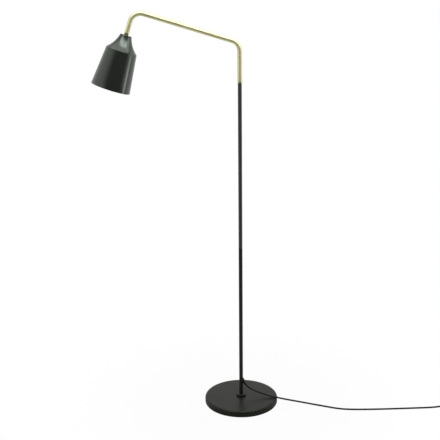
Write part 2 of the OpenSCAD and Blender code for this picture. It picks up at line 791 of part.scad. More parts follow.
module switch_screws() {
  color(steel) for (s = [-1, 1])
    at_switch(floor_gap) translate([s * (switch_l / 2 - 12), 0, 0]) cylinder(d = 3.2, h = switch_base_h - 1);
}

// Rest of the cord: link, coil, tie, tail and plug
module cord_link() {
  color(rubber) tube_along(smooth(link_route, 3), cord_d, cord_sides);
}
module cord_coil() {
  color(rubber) tube_along(coil_points, cord_d, coil_sides);
}
module coil_tie() {
  r0 = coil_in_r - cord_d / 2 - free_gap;
  r1 = coil_out_r + cord_d / 2 + free_gap;
  h = coil_z + coil_pitch + cord_d / 2 + free_gap;
  color(black) translate([coil_x, coil_y, 0]) rotate([90, 0, 0])
    linear_extrude(height = tie_w, center = true) difference() {
      translate([r0 - tie_t, floor_gap]) square([r1 - r0 + 2 * tie_t, h - floor_gap + tie_t]);
      translate([r0, floor_gap + tie_t]) square([r1 - r0, h - floor_gap - tie_t]);
    }
}
module cord_tail() {
  color(rubber) tube_along(smooth(tail_route, 3), cord_d, cord_sides);
}
module plug_slab(x, l, w, t) {
  translate([x, tail_y, plug_z]) rotate([90, 0, 90]) linear_extrude(height = l) {
    square([w - t, t], center = true);
    for (s = [-1, 1]) translate([s * (w - t) / 2, 0]) circle(d = t);
  }
}
module plug_body() {
  neck_d = cord_d + 4;
  color(rubber) difference() {
    union() {
      hull($fn = 32) {
        plug_slab(plug_x0, 12, plug_w, plug_t);
        plug_slab(plug_x0 + plug_body_l - 4, 4, neck_d + 5, neck_d);
      }
      translate([plug_x0 + plug_body_l - 1, tail_y, plug_z]) rotate([0, 90, 0])
        cylinder(d1 = neck_d, d2 = cord_d + 1, h = plug_relief_l + 1);
    }
    for (s = [-1, 1])
      translate([plug_x0 - 1, tail_y + s * pin_pitch / 2, plug_z]) rotate([0, 90, 0])
        cylinder(d = pin_d + 2 * run_gap, h = pin_root + 1);
  }
}
module plug_pins() {
  color(steel) for (s = [-1, 1])
    translate([plug_x0 + pin_root, tail_y + s * pin_pitch / 2, plug_z]) rotate([0, -90, 0]) rotate_extrude()
      polygon([[0, 0], [pin_d / 2, 0], [pin_d / 2, pin_root + pin_l - 1.5],
               [pin_d / 2 - 1.2, pin_root + pin_l], [0, pin_root + pin_l]]);
}

base_felt();
base_weight();
base_cover();
foot_collar();
base_stud();
base_washer();
base_nut();
lower_pole();
pole_joiner();
upper_pole();
pole_lead();
cord_gland();
swivel_spindle();
friction_washer();
stop_pin();
thrust_washer();
retaining_ring();
arm_tube();
arm_bush();
end_bush();
arm_lead();
neck_gasket();
neck_nipple();
shade_shell();
shade_washer();
shade_nut();
holder_cap();
holder_body();
screw_shell();
centre_contact();
bulb_cap();
bulb_insulator();
bulb_tip();
bulb_glass();
cord_run();
switch_base();
switch_cover();
switch_button();
switch_screws();
cord_link();
cord_coil();
coil_tie();
cord_tail();
plug_body();
plug_pins();
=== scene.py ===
"""Floor lamp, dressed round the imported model.

A round black base, a slim pole, a bent brass swing arm and a spun shade.
"""

import math

import bpy
from mathutils import Matrix, Vector


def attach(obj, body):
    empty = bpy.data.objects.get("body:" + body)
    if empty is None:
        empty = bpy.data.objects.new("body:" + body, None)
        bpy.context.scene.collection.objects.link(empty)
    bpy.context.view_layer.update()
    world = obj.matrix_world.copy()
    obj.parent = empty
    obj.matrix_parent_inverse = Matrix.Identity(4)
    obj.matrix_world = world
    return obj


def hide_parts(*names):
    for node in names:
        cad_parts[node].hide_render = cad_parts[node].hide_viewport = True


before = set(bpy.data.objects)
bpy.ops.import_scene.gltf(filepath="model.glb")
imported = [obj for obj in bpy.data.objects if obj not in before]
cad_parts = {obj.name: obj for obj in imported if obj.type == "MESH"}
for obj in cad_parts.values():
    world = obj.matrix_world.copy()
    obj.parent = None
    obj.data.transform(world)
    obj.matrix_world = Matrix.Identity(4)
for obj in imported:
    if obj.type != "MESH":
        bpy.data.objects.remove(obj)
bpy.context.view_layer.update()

MM = 0.001
TINY = 1e-6


# Camera, fitted to the photograph
IMAGE_PX = 440
FOCAL_PX = 837.12
SENSOR_MM = 36.0
CAMERA_AT = Vector((-0.23734, -3.000, 1.53019))
YAW, PITCH, ROLL = math.radians(3.08), math.radians(14.79), math.radians(-0.63)


def make_camera():
    data = bpy.data.cameras.new("camera")
    data.sensor_width = SENSOR_MM
    data.lens = FOCAL_PX * SENSOR_MM / IMAGE_PX
    ahead = Vector((
        math.sin(YAW) * math.cos(PITCH),
        math.cos(YAW) * math.cos(PITCH),
        -math.sin(PITCH),
    ))
    level = Vector((math.cos(YAW), -math.sin(YAW), 0))
    upright = level.cross(ahead)
    right = level * math.cos(ROLL) + upright * math.sin(ROLL)
    up = upright * math.cos(ROLL) - level * math.sin(ROLL)
    place = Matrix((right, up, -ahead)).transposed().to_4x4()
    place.translation = CAMERA_AT
    camera = bpy.data.objects.new("camera", data)
    camera.matrix_world = place
    bpy.context.scene.collection.objects.link(camera)
    bpy.context.scene.camera = camera


make_camera()


# Lines and profiles
def eased(t):
    """From 0 to 1, level at both ends."""
    return t * t * (3 - 2 * t)


def arc(cx, cy, radius, start, stop, steps):
    """Points of an arc in a profile, angles in degrees."""
    found = []
    for i in range(steps + 1):
        a = math.radians(start + (stop - start) * i / steps)
        found.append((cx + radius * math.cos(a), cy + radius * math.sin(a)))
    return found


def circle(centre, radius, side, up, sides):
    """Points of a circle, or its centre alone if it has no radius."""
    angles = [math.tau * k / sides for k in range(sides if radius > TINY else 1)]
    return [centre + radius * (math.cos(a) * side + math.sin(a) * up) for a in angles]


def distances(path):
    """The way along a path to each of its points."""
    found = [0.0]
    for a, b in zip(path, path[1:]):
        found.append(found[-1] + math.dist(a, b))
    return found


def path_length(path):
    return distances(path)[-1]


def path_frames(path):
    """Side and up vectors along a path in millimetres, carried from point to point without twist."""
    last = len(path) - 1
    ahead = [(path[min(i + 1, last)] - path[max(i - 1, 0)]).normalized() for i in range(len(path))]
    side = ahead[0].cross(Vector((0, 0, 1)))
    side = side.normalized() if side.length > TINY else Vector((0, 1, 0))
    frames = []
    for a in ahead:
        side = (side - a * side.dot(a)).normalized()
        frames.append((side, a.cross(side)))
    return frames


def smooth_path(route, steps):
    """A Catmull-Rom curve through the route's points."""
    points = [Vector(p) for p in route]
    path = []
    for i in range(len(points) - 1):
        b, c = points[i], points[i + 1]
        a = points[i - 1] if i else 2 * b - c
        d = points[i + 2] if i + 2 < len(points) else 2 * c - b
        for k in range(steps):
            t = k / steps
            path.append(0.5 * (
                2 * b + (c - a) * t + (2 * a - 5 * b + 4 * c - d) * t * t + (3 * b - a - 3 * c + d) * t ** 3
            ))
    return path + [points[-1]]


# Meshes
LAY = "lay"
SHARP = 35


def faces_inwards(points, faces):
    """Whether a closed skin's faces look inwards, by the sign of the volume inside it."""
    volume = 0.0
    for face in faces:
        a = points[face[0]]
        for b, c in zip(face[1:], face[2:]):
            volume += a.dot(points[b].cross(points[c]))
    return volume < 0


def build(name, points, faces, lay, body, finish, replaces=(), sharp=SHARP):
    """A smooth mesh from points in metres, with sharp edges from an angle in degrees.

    lay gives each face corner its place on the surface, in millimetres. finish is a material or a list.
    """
    if faces_inwards(points, faces):
        faces, lay = [face[::-1] for face in faces], [corners[::-1] for corners in lay]
    mesh = bpy.data.meshes.new(name)
    mesh.from_pydata(points, [], faces)
    layer = mesh.uv_layers.new(name=LAY)
    for corner, place in zip(layer.data, (p for face in lay for p in face)):
        corner.uv = place
    for material in finish if isinstance(finish, list) else [finish]:
        mesh.materials.append(material)
    mesh.polygons.foreach_set("use_smooth", [True] * len(faces))
    mesh.set_sharp_from_angle(angle=math.radians(sharp))
    mesh.validate()
    piece = bpy.data.objects.new(name, mesh)
    bpy.context.scene.collection.objects.link(piece)
    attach(piece, body)
    if replaces:
        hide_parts(*replaces)
    return piece


def rings_to_faces(rings, closed):
    """Faces between neighbouring rings of point numbers; a ring of one point makes a fan.

    The spans give the row and the side of each face's corners.
    """
    faces, spans = [], []
    count = len(rings)
    for i in range(count if closed else count - 1):
        a, b = rings[i], rings[(i + 1) % count]
        sides = max(len(a), len(b))
        for k in range(sides):
            n = (k + 1) % sides
            quad = [(a, k, i), (b, k, i + 1), (b, n, i + 1), (a, n, i)]
            face, span = [], []
            for ring, side, row in quad:
                number = ring[side if len(ring) > 1 else 0]
                if number in face:
                    continue
                face.append(number)
                span.append((row, k + 1 if side == n else k))
            if len(face) > 2:
                faces.append(face)
                spans.append(span)
    return faces, spans


def skin(name, rings, along, girth, body, finish, slot, replaces=(), closed=False, pick=None, sharp=SHARP):
    """A mesh over rings of points in millimetres; a ring of one point closes an end.

    The way along to each ring, and the girth, lay out the surface. pick chooses a finish by the row.
    """
    numbers, count = [], 0
    for ring in rings:
        numbers.append(list(range(count, count + len(ring))))
        count += len(ring)
    faces, spans = rings_to_faces(numbers, closed)
    sides = max(len(ring) for ring in rings)
    lay = [[(girth * k / sides, along[row]) for row, k in span] for span in spans]
    points = [p * MM for ring in rings for p in ring]
    piece = build(name, points, faces, lay, body, finish, replaces, sharp)
    if pick:
        rows = [min(row for row, _ in span) for span in spans]
        piece.data.polygons.foreach_set("material_index", [pick(row) for row in rows])
    return piece


def turned(name, profile, place, body, finish, slot, replaces=(), sides=144, closed=True, **options):
    """A turned piece: profile points (radius, height) in millimetres, round the local Z of place."""
    rings = []
    for radius, height in profile:
        flat = circle(Vector((0, 0, height)), radius, Vector((1, 0, 0)), Vector((0, 1, 0)), sides)
        rings.append([place @ p for p in flat])
    along = distances(profile + profile[:1])
    girth = math.tau * max(radius for radius, _ in profile)
    skin(name, rings, along, girth, body, finish, slot, replaces, closed, **options)


def swept(name, path, radius, body, finish, slot, replaces=(), sides=48, bore=0.0, lip=0.4):
    """A round bar, or a tube if it has a bore, along a path in millimetres. Its ends have a small lip."""
    frames, travel, last = path_frames(path), distances(path), len(path) - 1
    stations = [(0, radius - lip, 0.0), (0, radius, lip)]
    stations += [(i, radius, 0.0) for i in range(1, last)]
    stations += [(last, radius, -lip), (last, radius - lip, 0.0)]
    if bore:
        stations += [(i, bore / 2, 0.0) for i in range(last, -1, -1)]
    else:
        stations = [(0, 0.0, 0.0)] + stations + [(last, 0.0, 0.0)]
    rings, along = [], []
    for i, r, shift in stations:
        side, up = frames[i]
        rings.append(circle(path[i] + side.cross(up) * shift, r, side, up, sides))
        along.append(travel[i] + shift)
    along.append(along[0])
    return skin(name, rings, along, math.tau * radius, body, finish, slot, replaces, closed=bool(bore))


def lofted(name, rings, body, finish, slot, replaces=(), closed=False):
    """A skin over rings, laid out by the way between their first points and by the longest of them."""
    along = distances([ring[0] for ring in rings + rings[:1]])
    girth = max(path_length(ring + ring[:1]) for ring in rings)
    skin(name, rings, along, girth, body, finish, slot, replaces, closed)


# Materials
class Nodes:
    """Adds and joins the nodes of one tree."""

    def __init__(self, tree):
        self.tree = tree

    def add(self, kind, **settings):
        made = self.tree.nodes.new("ShaderNode" + kind)
        for key, value in settings.items():
            setattr(made, key, value)
        return made

    def feed(self, socket, value):
        """Links an output to the socket, or sets it to a constant."""
        if isinstance(value, bpy.types.NodeSocket):
            self.tree.links.new(value, socket)
        else:
            socket.default_value = value

    def feed_all(self, made, values):
        for key, value in values:
            self.feed(made.inputs[key], value)

    def math(self, operation, *values):
        made = self.add("Math", operation=operation)
        self.feed_all(made, enumerate(values))
        return made.outputs["Value"]

    def ranged(self, value, low, high, start=0.3, stop=0.7, soft=False):
        """Takes start to stop onto low to high."""
        made = self.add("MapRange", interpolation_type="SMOOTHSTEP" if soft else "LINEAR")
        self.feed_all(made, (
            ("Value", value), ("From Min", start), ("From Max", stop), ("To Min", low), ("To Max", high),
        ))
        return made.outputs["Result"]


class Finish(Nodes):
    """A Principled material whose detail comes from nodes."""

    def __init__(self, name, **sockets):
        self.material = bpy.data.materials.new(name)
        self.material.use_nodes = True
        super().__init__(self.material.node_tree)
        self.shader = self.tree.nodes["Principled BSDF"]
        self.feed_all(self.shader, ((key.replace("_", " "), value) for key, value in sockets.items()))

    def place(self, stretch=(1, 1, 1), lay=False):
        """Coordinates: the piece's own space in metres, or its lay in millimetres."""
        if lay:
            source = self.add("UVMap", uv_map=LAY).outputs["UV"]
        else:
            source = self.add("TexCoord").outputs["Object"]
        mapping = self.add("Mapping")
        self.feed_all(mapping, (("Vector", source), ("Scale", stretch)))
        return mapping.outputs["Vector"]

    def noise(self, scale, detail, where=None):
        made = self.add("TexNoise")
        self.feed_all(made, (("Vector", where or self.place()), ("Scale", scale), ("Detail", detail)))
        return made.outputs["Fac"]

    def blend(self, amount, first, second):
        made = self.add("Mix", data_type="RGBA")
        for key, value in ((0, amount), (6, first), (7, second)):
            self.feed(made.inputs[key], (*value, 1.0) if isinstance(value, tuple) else value)
        return made.outputs[2]

    def colour(self, value):
        self.feed(self.shader.inputs["Base Color"], value)

    def rough(self, value):
        self.feed(self.shader.inputs["Roughness"], value)

    def bump(self, height, strength, depth_mm):
        made = self.add("Bump")
        self.feed_all(made, (("Strength", strength), ("Distance", depth_mm * MM), ("Height", height)))
        self.feed(self.shader.inputs["Normal"], made.outputs["Normal"])


def scaled(colour, factor):
    return tuple(c * factor for c in colour)


def paint(name, colour, rough, shine, peel_mm=0.02, spun=False, tint=(1, 1, 1)):
    """Satin lacquer or powder coat: clouded colour, uneven gloss and a fine orange peel."""
    f = Finish(name, Specular_IOR_Level=shine, Specular_Tint=(*tint, 1))
    grain = f.noise(1400, 2)
    tone = f.blend(f.ranged(f.noise(9, 4), 0, 1), scaled(colour, 0.86), scaled(colour, 1.18))
    fleck = tuple(min(1.0, c * 1.9 + 0.004) for c in colour)
    f.colour(f.blend(f.ranged(grain, 0, 0.35, 0.62, 0.8), tone, fleck))
    gloss = f.ranged(f.noise(22, 3), rough - 0.04, rough + 0.04)
    f.rough(f.math("ADD", gloss, f.ranged(grain, -0.02, 0.02)))
    height = f.math("MULTIPLY", grain, 0.5)
    if spun:
        rings = f.noise(1.0, 2, f.place((0.004, 1.1, 1), lay=True))
        height = f.math("ADD", height, f.math("MULTIPLY", rings, 0.7))
    f.bump(f.math("ADD", height, f.noise(420, 2)), 0.35, peel_mm)
    return f.material


def brass(name, colour, rough):
    """Lacquered brass tube: long draw lines, clouded tone and a little tarnish."""
    f = Finish(name, Metallic=1.0)
    lines = f.noise(1.0, 3, f.place((2.6, 0.012, 1), lay=True))
    cloud = f.noise(14, 4)
    deep = tuple(c * k for c, k in zip(colour, (0.88, 0.85, 0.74)))
    tone = f.blend(f.ranged(cloud, 0, 1), deep, colour)
    f.colour(f.blend(f.ranged(lines, 0, 0.3, 0.45, 0.75), tone, deep))
    f.rough(f.math("ADD", f.ranged(lines, rough - 0.03, rough + 0.05), f.ranged(cloud, -0.02, 0.03)))
    f.bump(f.math("ADD", lines, f.noise(700, 2)), 0.15, 0.01)
    return f.material


def metal(name, colour, rough):
    """Turned or plated metal with fine scratches."""
    f = Finish(name, Metallic=1.0)
    scratch = f.noise(900, 3)
    f.colour(f.blend(f.ranged(f.noise(60, 3), 0, 1), scaled(colour, 0.82), colour))
    f.rough(f.ranged(scratch, rough - 0.06, rough + 0.08))
    f.bump(scratch, 0.2, 0.01)
    return f.material


def moulded(name, colour, rough, grain=1600, depth_mm=0.03):
    """Moulded plastic or rubber with a fine spark-eroded grain, or a rough casting."""
    f = Finish(name, Specular_IOR_Level=0.45)
    speck = f.noise(grain, 3)
    f.colour(f.blend(f.ranged(f.noise(30, 4), 0, 1), colour, scaled(colour, 1.3)))
    f.rough(f.ranged(speck, rough - 0.06, rough + 0.08))
    f.bump(speck, 0.4, depth_mm)
    return f.material


def sheathed(name, colour):
    """Cord sheath: smooth plastic with faint lines from its drawing and a slight waviness."""
    f = Finish(name, Specular_IOR_Level=0.2)
    lines = f.noise(1.0, 2, f.place((1.8, 0.02, 1), lay=True))
    waves = f.noise(1.0, 2, f.place((0.06, 0.16, 1), lay=True))
    f.colour(f.blend(f.ranged(waves, 0, 1), colour, scaled(colour, 1.5)))
    f.rough(f.ranged(lines, 0.36, 0.52))
    f.bump(f.math("ADD", lines, f.math("MULTIPLY", waves, 1.5)), 0.35, 0.04)
    return f.material


def felted(name, colour):
    """Pressed wool felt, or the pile of a strap."""
    f = Finish(name, Roughness=0.95, Specular_IOR_Level=0.15, Sheen_Weight=0.35, Sheen_Roughness=0.6)
    fibre = f.noise(2600, 4)
    f.colour(f.blend(f.ranged(fibre, 0, 1), colour, scaled(colour, 1.9)))
    f.bump(f.math("ADD", fibre, f.noise(500, 3)), 0.7, 0.25)
    return f.material


def opal(name):
    """Opal bulb glass."""
    f = Finish(name, Specular_IOR_Level=0.5, Subsurface_Weight=0.25, Subsurface_Radius=(0.004, 0.004, 0.0035))
    f.colour(f.blend(f.ranged(f.noise(40, 3), 0, 1), (0.84, 0.83, 0.79), (0.88, 0.87, 0.84)))
    f.rough(f.ranged(f.noise(160, 2), 0.12, 0.18))
    return f.material


SHADE_PAINT = paint(
    "shade_lacquer", (0.0086, 0.0112, 0.0080), rough=0.20, shine=1.0, spun=True, tint=(0.92, 1.0, 0.89),
)
BASE_PAINT = paint(
    "base_powder_coat", (0.0118, 0.0130, 0.0092), rough=0.36, shine=0.20, peel_mm=0.03, tint=(0.96, 1, 0.88),
)
LOWER_PAINT = paint("pole_powder_coat", (0.0145, 0.0152, 0.0122), rough=0.45, shine=0.25)
UPPER_PAINT = paint("pole_satin_lacquer", (0.0370, 0.0390, 0.0365), rough=0.40, shine=0.50)
SHADE_WHITE = paint("shade_inner_enamel", (0.72, 0.71, 0.67), rough=0.5, shine=0.4)
BRASS = brass("brass_tube", (0.83, 0.815, 0.525), rough=0.48)
TURNED_BRASS = metal("brass_turned", (0.72, 0.63, 0.38), rough=0.28)
STEEL = metal("zinc_plated_steel", (0.58, 0.58, 0.57), rough=0.32)
NICKEL = metal("nickel_plate", (0.66, 0.65, 0.62), rough=0.22)
COPPER = metal("copper_contact", (0.72, 0.42, 0.28), rough=0.3)
IRON = moulded("cast_iron", (0.045, 0.044, 0.043), rough=0.7, grain=700, depth_mm=0.15)
RUBBER = moulded("black_rubber", (0.012, 0.012, 0.012), rough=0.55)
PLASTIC = moulded("black_moulded_plastic", (0.014, 0.014, 0.015), rough=0.38, grain=2200, depth_mm=0.02)
BAKELITE = moulded("phenolic_resin", (0.016, 0.014, 0.013), rough=0.3, grain=1200, depth_mm=0.01)
NYLON = moulded("dark_nylon", (0.02, 0.02, 0.02), rough=0.45)
# Rubber for the neck gasket. Its dark olive is painted shade: the tone of the brass tube's end in shadow
# where it enters the shade.
PAINTED_SHADE_OLIVE = moulded("olive_rubber_painted_shade", (0.15, 0.16, 0.06), rough=0.5)
SHEATH = sheathed("cord_sheath", (0.010, 0.010, 0.010))
FELT = felted("base_felt_pad", (0.016, 0.017, 0.016))
STRAP = felted("tie_loop_pile", (0.011, 0.011, 0.011))
OPAL = opal("opal_glass")


# Cords: the routes are those of the part's source, here in metres
CORD_D, CORD_SIDES, CORD_LIP_MM, ROUTE_STEPS = 0.0066, 20, 0.3, 6
LIE_Z = CORD_D / 2 + 0.00005
RUN_ROUTE = (
    (0.0172, -0.0041, 0.0715), (0.020, -0.0048, 0.0678), (0.0232, -0.0055, 0.0643), (0.027, -0.0064, 0.0609),
    (0.0322, -0.0077, 0.057), (0.0384, -0.0091, 0.053), (0.0465, -0.0109, 0.0489), (0.060, -0.0139, 0.0435),
    (0.076, -0.0175, 0.0383), (0.092, -0.0218, 0.0335), (0.108, -0.0268, 0.0296), (0.122, -0.032, 0.028),
    (0.134, -0.036, 0.0266), (0.148, -0.0394, 0.024), (0.164, -0.042, 0.021), (0.184, -0.0449, 0.0175),
    (0.206, -0.0484, 0.0141), (0.230, -0.0528, 0.0106), (0.256, -0.0586, 0.0072), (0.280, -0.0658, 0.0048),
    (0.305, -0.075, 0.0035), (0.330, -0.087, LIE_Z), (0.354, -0.098, LIE_Z), (0.381, -0.1075, LIE_Z),
    (0.410, -0.113, LIE_Z), (0.445, -0.1165, LIE_Z), (0.490, -0.119, LIE_Z), (0.540, -0.1205, LIE_Z),
    (0.590, -0.1212, LIE_Z), (0.640, -0.1216, LIE_Z), (0.685, -0.1218, LIE_Z), (0.715, -0.122, 0.0036),
    (0.740, -0.122, 0.0048), (0.758, -0.122, 0.0065), (0.764, -0.122, 0.007), (0.770, -0.122, 0.007),
)
SWITCH_Y, SWITCH_Z = -0.122, 0.007
LINK_X, COIL_X, COIL_LEAD = 0.870, 0.920, CORD_D
COIL_IN_R, COIL_PITCH, COIL_TURNS = 4 * CORD_D, 0.0072, 5.5
COIL_CLIMB_TURNS, COIL_STEPS = 0.5, 96
COIL_OUT_R = COIL_IN_R + COIL_PITCH * COIL_TURNS / 2
COIL_Y, COIL_Z = SWITCH_Y + COIL_OUT_R, CORD_D / 2 + 0.0009
TAIL_Y, TAIL_Z, TAIL_X = COIL_Y + COIL_OUT_R, COIL_Z + COIL_PITCH, COIL_X - COIL_LEAD
PLUG_X, PLUG_Z = TAIL_X - 0.044, 0.0069
ROUTE_EASE = 0.015
LINK_ROUTE = (
    (LINK_X, SWITCH_Y, SWITCH_Z),
    (LINK_X + CORD_D, SWITCH_Y, SWITCH_Z),
    (LINK_X + ROUTE_EASE, SWITCH_Y, 0.7 * SWITCH_Z + 0.3 * COIL_Z),
    (TAIL_X - ROUTE_EASE, SWITCH_Y, 0.3 * SWITCH_Z + 0.7 * COIL_Z),
    (TAIL_X - CORD_D, SWITCH_Y, COIL_Z),
    (TAIL_X, SWITCH_Y, COIL_Z),
)
TAIL_ROUTE = (
    (TAIL_X, TAIL_Y, TAIL_Z),
    (TAIL_X - CORD_D, TAIL_Y, TAIL_Z),
    (TAIL_X - ROUTE_EASE, TAIL_Y, 0.7 * TAIL_Z + 0.3 * PLUG_Z),
    (PLUG_X + ROUTE_EASE, TAIL_Y, 0.3 * TAIL_Z + 0.7 * PLUG_Z),
    (PLUG_X + CORD_D, TAIL_Y, PLUG_Z),
    (PLUG_X, TAIL_Y, PLUG_Z),
)


def coil_path():
    """Spirals in, climbs one layer where it reverses, and spirals out."""
    path = []
    for i in range(int(COIL_TURNS * COIL_STEPS) + 1):
        t = i / COIL_STEPS
        off_middle = t - COIL_TURNS / 2
        radius = COIL_IN_R + COIL_PITCH * abs(off_middle)
        climb = min(max(off_middle / COIL_CLIMB_TURNS + 0.5, 0), 1)
        a = math.tau * t - math.pi / 2
        path.append(Vector((
            COIL_X + radius * math.cos(a), COIL_Y + radius * math.sin(a), COIL_Z + COIL_PITCH * climb
        )))
    return path


def cord_piece(name, path, replaces):
    in_mm = [p / MM for p in path]
    radius = CORD_D / 2 / MM
    return swept(
        name, in_mm, radius, "stand", SHEATH, "cord_sheath", replaces, sides=CORD_SIDES, lip=CORD_LIP_MM,
    )


# Strain reliefs. From here on the pieces are in millimetres.
# A groove's rows are shares of its width and depth, the tip's a distance back and a cut from its radius.
GROOVE_PITCH, GROOVE_W, GROOVE_T = 3.2, 1.4, 0.6
GROOVE_SHAPE = ((0.0, 0.0), (0.25, 0.8), (0.5, 1.0), (0.75, 0.8), (1.0, 0.0))
TIP_SHAPE = ((0.9, 0.0), (0.3, 0.25), (0.0, 0.5))


def grooved(length, root_r, tip_r, grooves):
    """A tapered relief with its grooves near the tip: rows of a distance from the root and a radius."""
    rows = []
    for i in range(grooves):
        at = length - (grooves + 0.5) * GROOVE_PITCH + i * GROOVE_PITCH
        radius = root_r + (tip_r - root_r) * at / length
        rows += [(at + along * GROOVE_W, radius - deep * GROOVE_T) for along, deep in GROOVE_SHAPE]
    return rows + [(length - back, tip_r - cut) for back, cut in TIP_SHAPE]


def slot_outline(half_l, radius, sides=96):
    """Outline of a slot with round ends."""
    pairs = []
    for k in range(sides):
        a = math.tau * (k + 0.5) / sides
        shift = math.copysign(half_l - radius, math.cos(a))
        pairs.append((shift + radius * math.cos(a), radius * math.sin(a)))
    return pairs


# Plug: a flat body for two pins, drawn in to its strain relief
PLUG_W, PLUG_T, PLUG_BODY_L, PLUG_RELIEF_L, PLUG_EDGE_R = 35.0, 13.7, 38.0, 24.0, 1.5
PLUG_NECK_W, PLUG_NECK_T, PLUG_ROOT_R, PLUG_TIP_R = 15.2, 10.8, 5.3, 3.8
PLUG_STRAIGHT, PLUG_DRAWN = 8.0, 34.0
PLUG_EDGE_STEPS, PLUG_WAIST_STEPS, PLUG_NECK_STEPS, PLUG_GROOVES = 5, 26, 6, 5


def make_plug():
    face_x, y, z = PLUG_X / MM - PLUG_RELIEF_L - PLUG_BODY_L, TAIL_Y / MM, PLUG_Z / MM
    half_w, half_t, r = PLUG_W / 2, PLUG_T / 2, PLUG_EDGE_R
    neck_w, neck_t = PLUG_NECK_W / 2, PLUG_NECK_T / 2
    edge = arc(0, r, r, -90, 0, PLUG_EDGE_STEPS)
    rows = [(dz, half_w - r + dr, half_t - r + dr) for dr, dz in edge]
    for i in range(PLUG_WAIST_STEPS + 1):
        t = i / PLUG_WAIST_STEPS
        at = PLUG_STRAIGHT + (PLUG_DRAWN - PLUG_STRAIGHT) * t
        rows.append((at, half_w + (neck_w - half_w) * eased(t), half_t + (neck_t - half_t) * eased(t)))
    neck = neck_w - PLUG_ROOT_R
    rows += [
        (PLUG_BODY_L - neck + dz, PLUG_ROOT_R + dr, PLUG_ROOT_R + (neck_t - PLUG_ROOT_R) * dr / neck)
        for dr, dz in arc(0, 0, neck, 0, 90, PLUG_NECK_STEPS)
    ]
    relief = grooved(PLUG_RELIEF_L, PLUG_ROOT_R, PLUG_TIP_R, PLUG_GROOVES)
    rows += [(PLUG_BODY_L + at, radius, radius) for at, radius in relief]
    rings = [[Vector((face_x, y, z))]]
    for at, wide, thick in rows:
        rings.append([Vector((face_x + at, y + u, z + v)) for u, v in slot_outline(wide, thick)])
    rings.append([Vector((face_x + rows[-1][0], y, z))])
    lofted("plug_moulded", rings, "stand", PLASTIC, "black_plastic", ["plug_body"])


# Switch: the upper shell with a chamfer along the parting line, and a strain relief at each end
SWITCH_L, SWITCH_W, SWITCH_WALL, SWITCH_SPLIT_Z, SWITCH_TOP_Z = 76.0, 32.0, 2.0, 8.0, 18.0
SWITCH_EDGE_R, SWITCH_EDGE_STEPS, SEAM, BUTTON_HOLE_R, SWITCH_X = 3.0, 8, 0.45, 9.3, 820.0
BOOT_L, BOOT_ROOT_R, BOOT_TIP_R, BOOT_SUNK, BOOT_GROOVES, BOOT_SIDES = 22.0, 4.95, 3.85, 3.0, 4, 48


def make_switch():
    y0, z0, edge, wall = SWITCH_Y / MM, SWITCH_SPLIT_Z, SWITCH_EDGE_R, SWITCH_WALL
    top, under = SWITCH_TOP_Z, SWITCH_TOP_Z - wall

    def outline(inset, z):
        pairs = slot_outline(SWITCH_L / 2 - inset, SWITCH_W / 2 - inset)
        return [Vector((SWITCH_X + u, y0 + v, z)) for u, v in pairs]

    def hole(radius, z):
        angles = (math.atan2(v, u) for u, v in slot_outline(SWITCH_L / 2, SWITCH_W / 2))
        return [Vector((SWITCH_X + radius * math.cos(a), y0 + radius * math.sin(a), z)) for a in angles]

    rings = [outline(SEAM, z0), outline(0, z0 + SEAM)]
    rings += [outline(edge - dr, top - edge + dz) for dr, dz in arc(0, 0, edge, 0, 90, SWITCH_EDGE_STEPS)]
    rings += [hole(BUTTON_HOLE_R + SEAM, top), hole(BUTTON_HOLE_R, top - SEAM)]
    rings += [hole(BUTTON_HOLE_R, under), outline(wall, under), outline(wall, z0)]
    lofted("switch_top", rings, "stand", PLASTIC, "black_plastic", ["switch_cover"], closed=True)
    rows = [(-BOOT_SUNK, 0.0), (-BOOT_SUNK, BOOT_ROOT_R)]
    rows += grooved(BOOT_L, BOOT_ROOT_R, BOOT_TIP_R, BOOT_GROOVES) + [(BOOT_L, 0.0)]
    boot = [(radius, at) for at, radius in rows]
    for name, way in (("switch_boot_near", -1), ("switch_boot_far", 1)):
        place = Matrix.Translation((SWITCH_X + way * SWITCH_L / 2, y0, SWITCH_Z / MM))
        place = place @ Matrix.Rotation(way * math.pi / 2, 4, "Y")
        turned(name, boot, place, "stand", RUBBER, "black_plastic", sides=BOOT_SIDES, closed=False)


# Tie: a strap wound once round the turns, its free end lying over its start
STRAP_W, STRAP_T, STRAP_EDGE, STRAP_BEND_R, STRAP_END_R = 9.0, 0.7, 0.3, 3.7, 2.5
STRAP_IN, STRAP_OUT, STRAP_LOW, STRAP_HIGH = 25.75, 48.25, 0.45, 15.1
STRAP_START, STRAP_LAP, STRAP_RISE_FROM, STRAP_RISE_L, STRAP_GAP = 36.0, 9.0, 30.5, 5.0, 0.05
START_STEPS, SIDE_STEPS, UNDER_STEPS, LAP_STEPS, CORNER_STEPS, STRAP_EDGE_STEPS = 12, 8, 16, 40, 10, 3


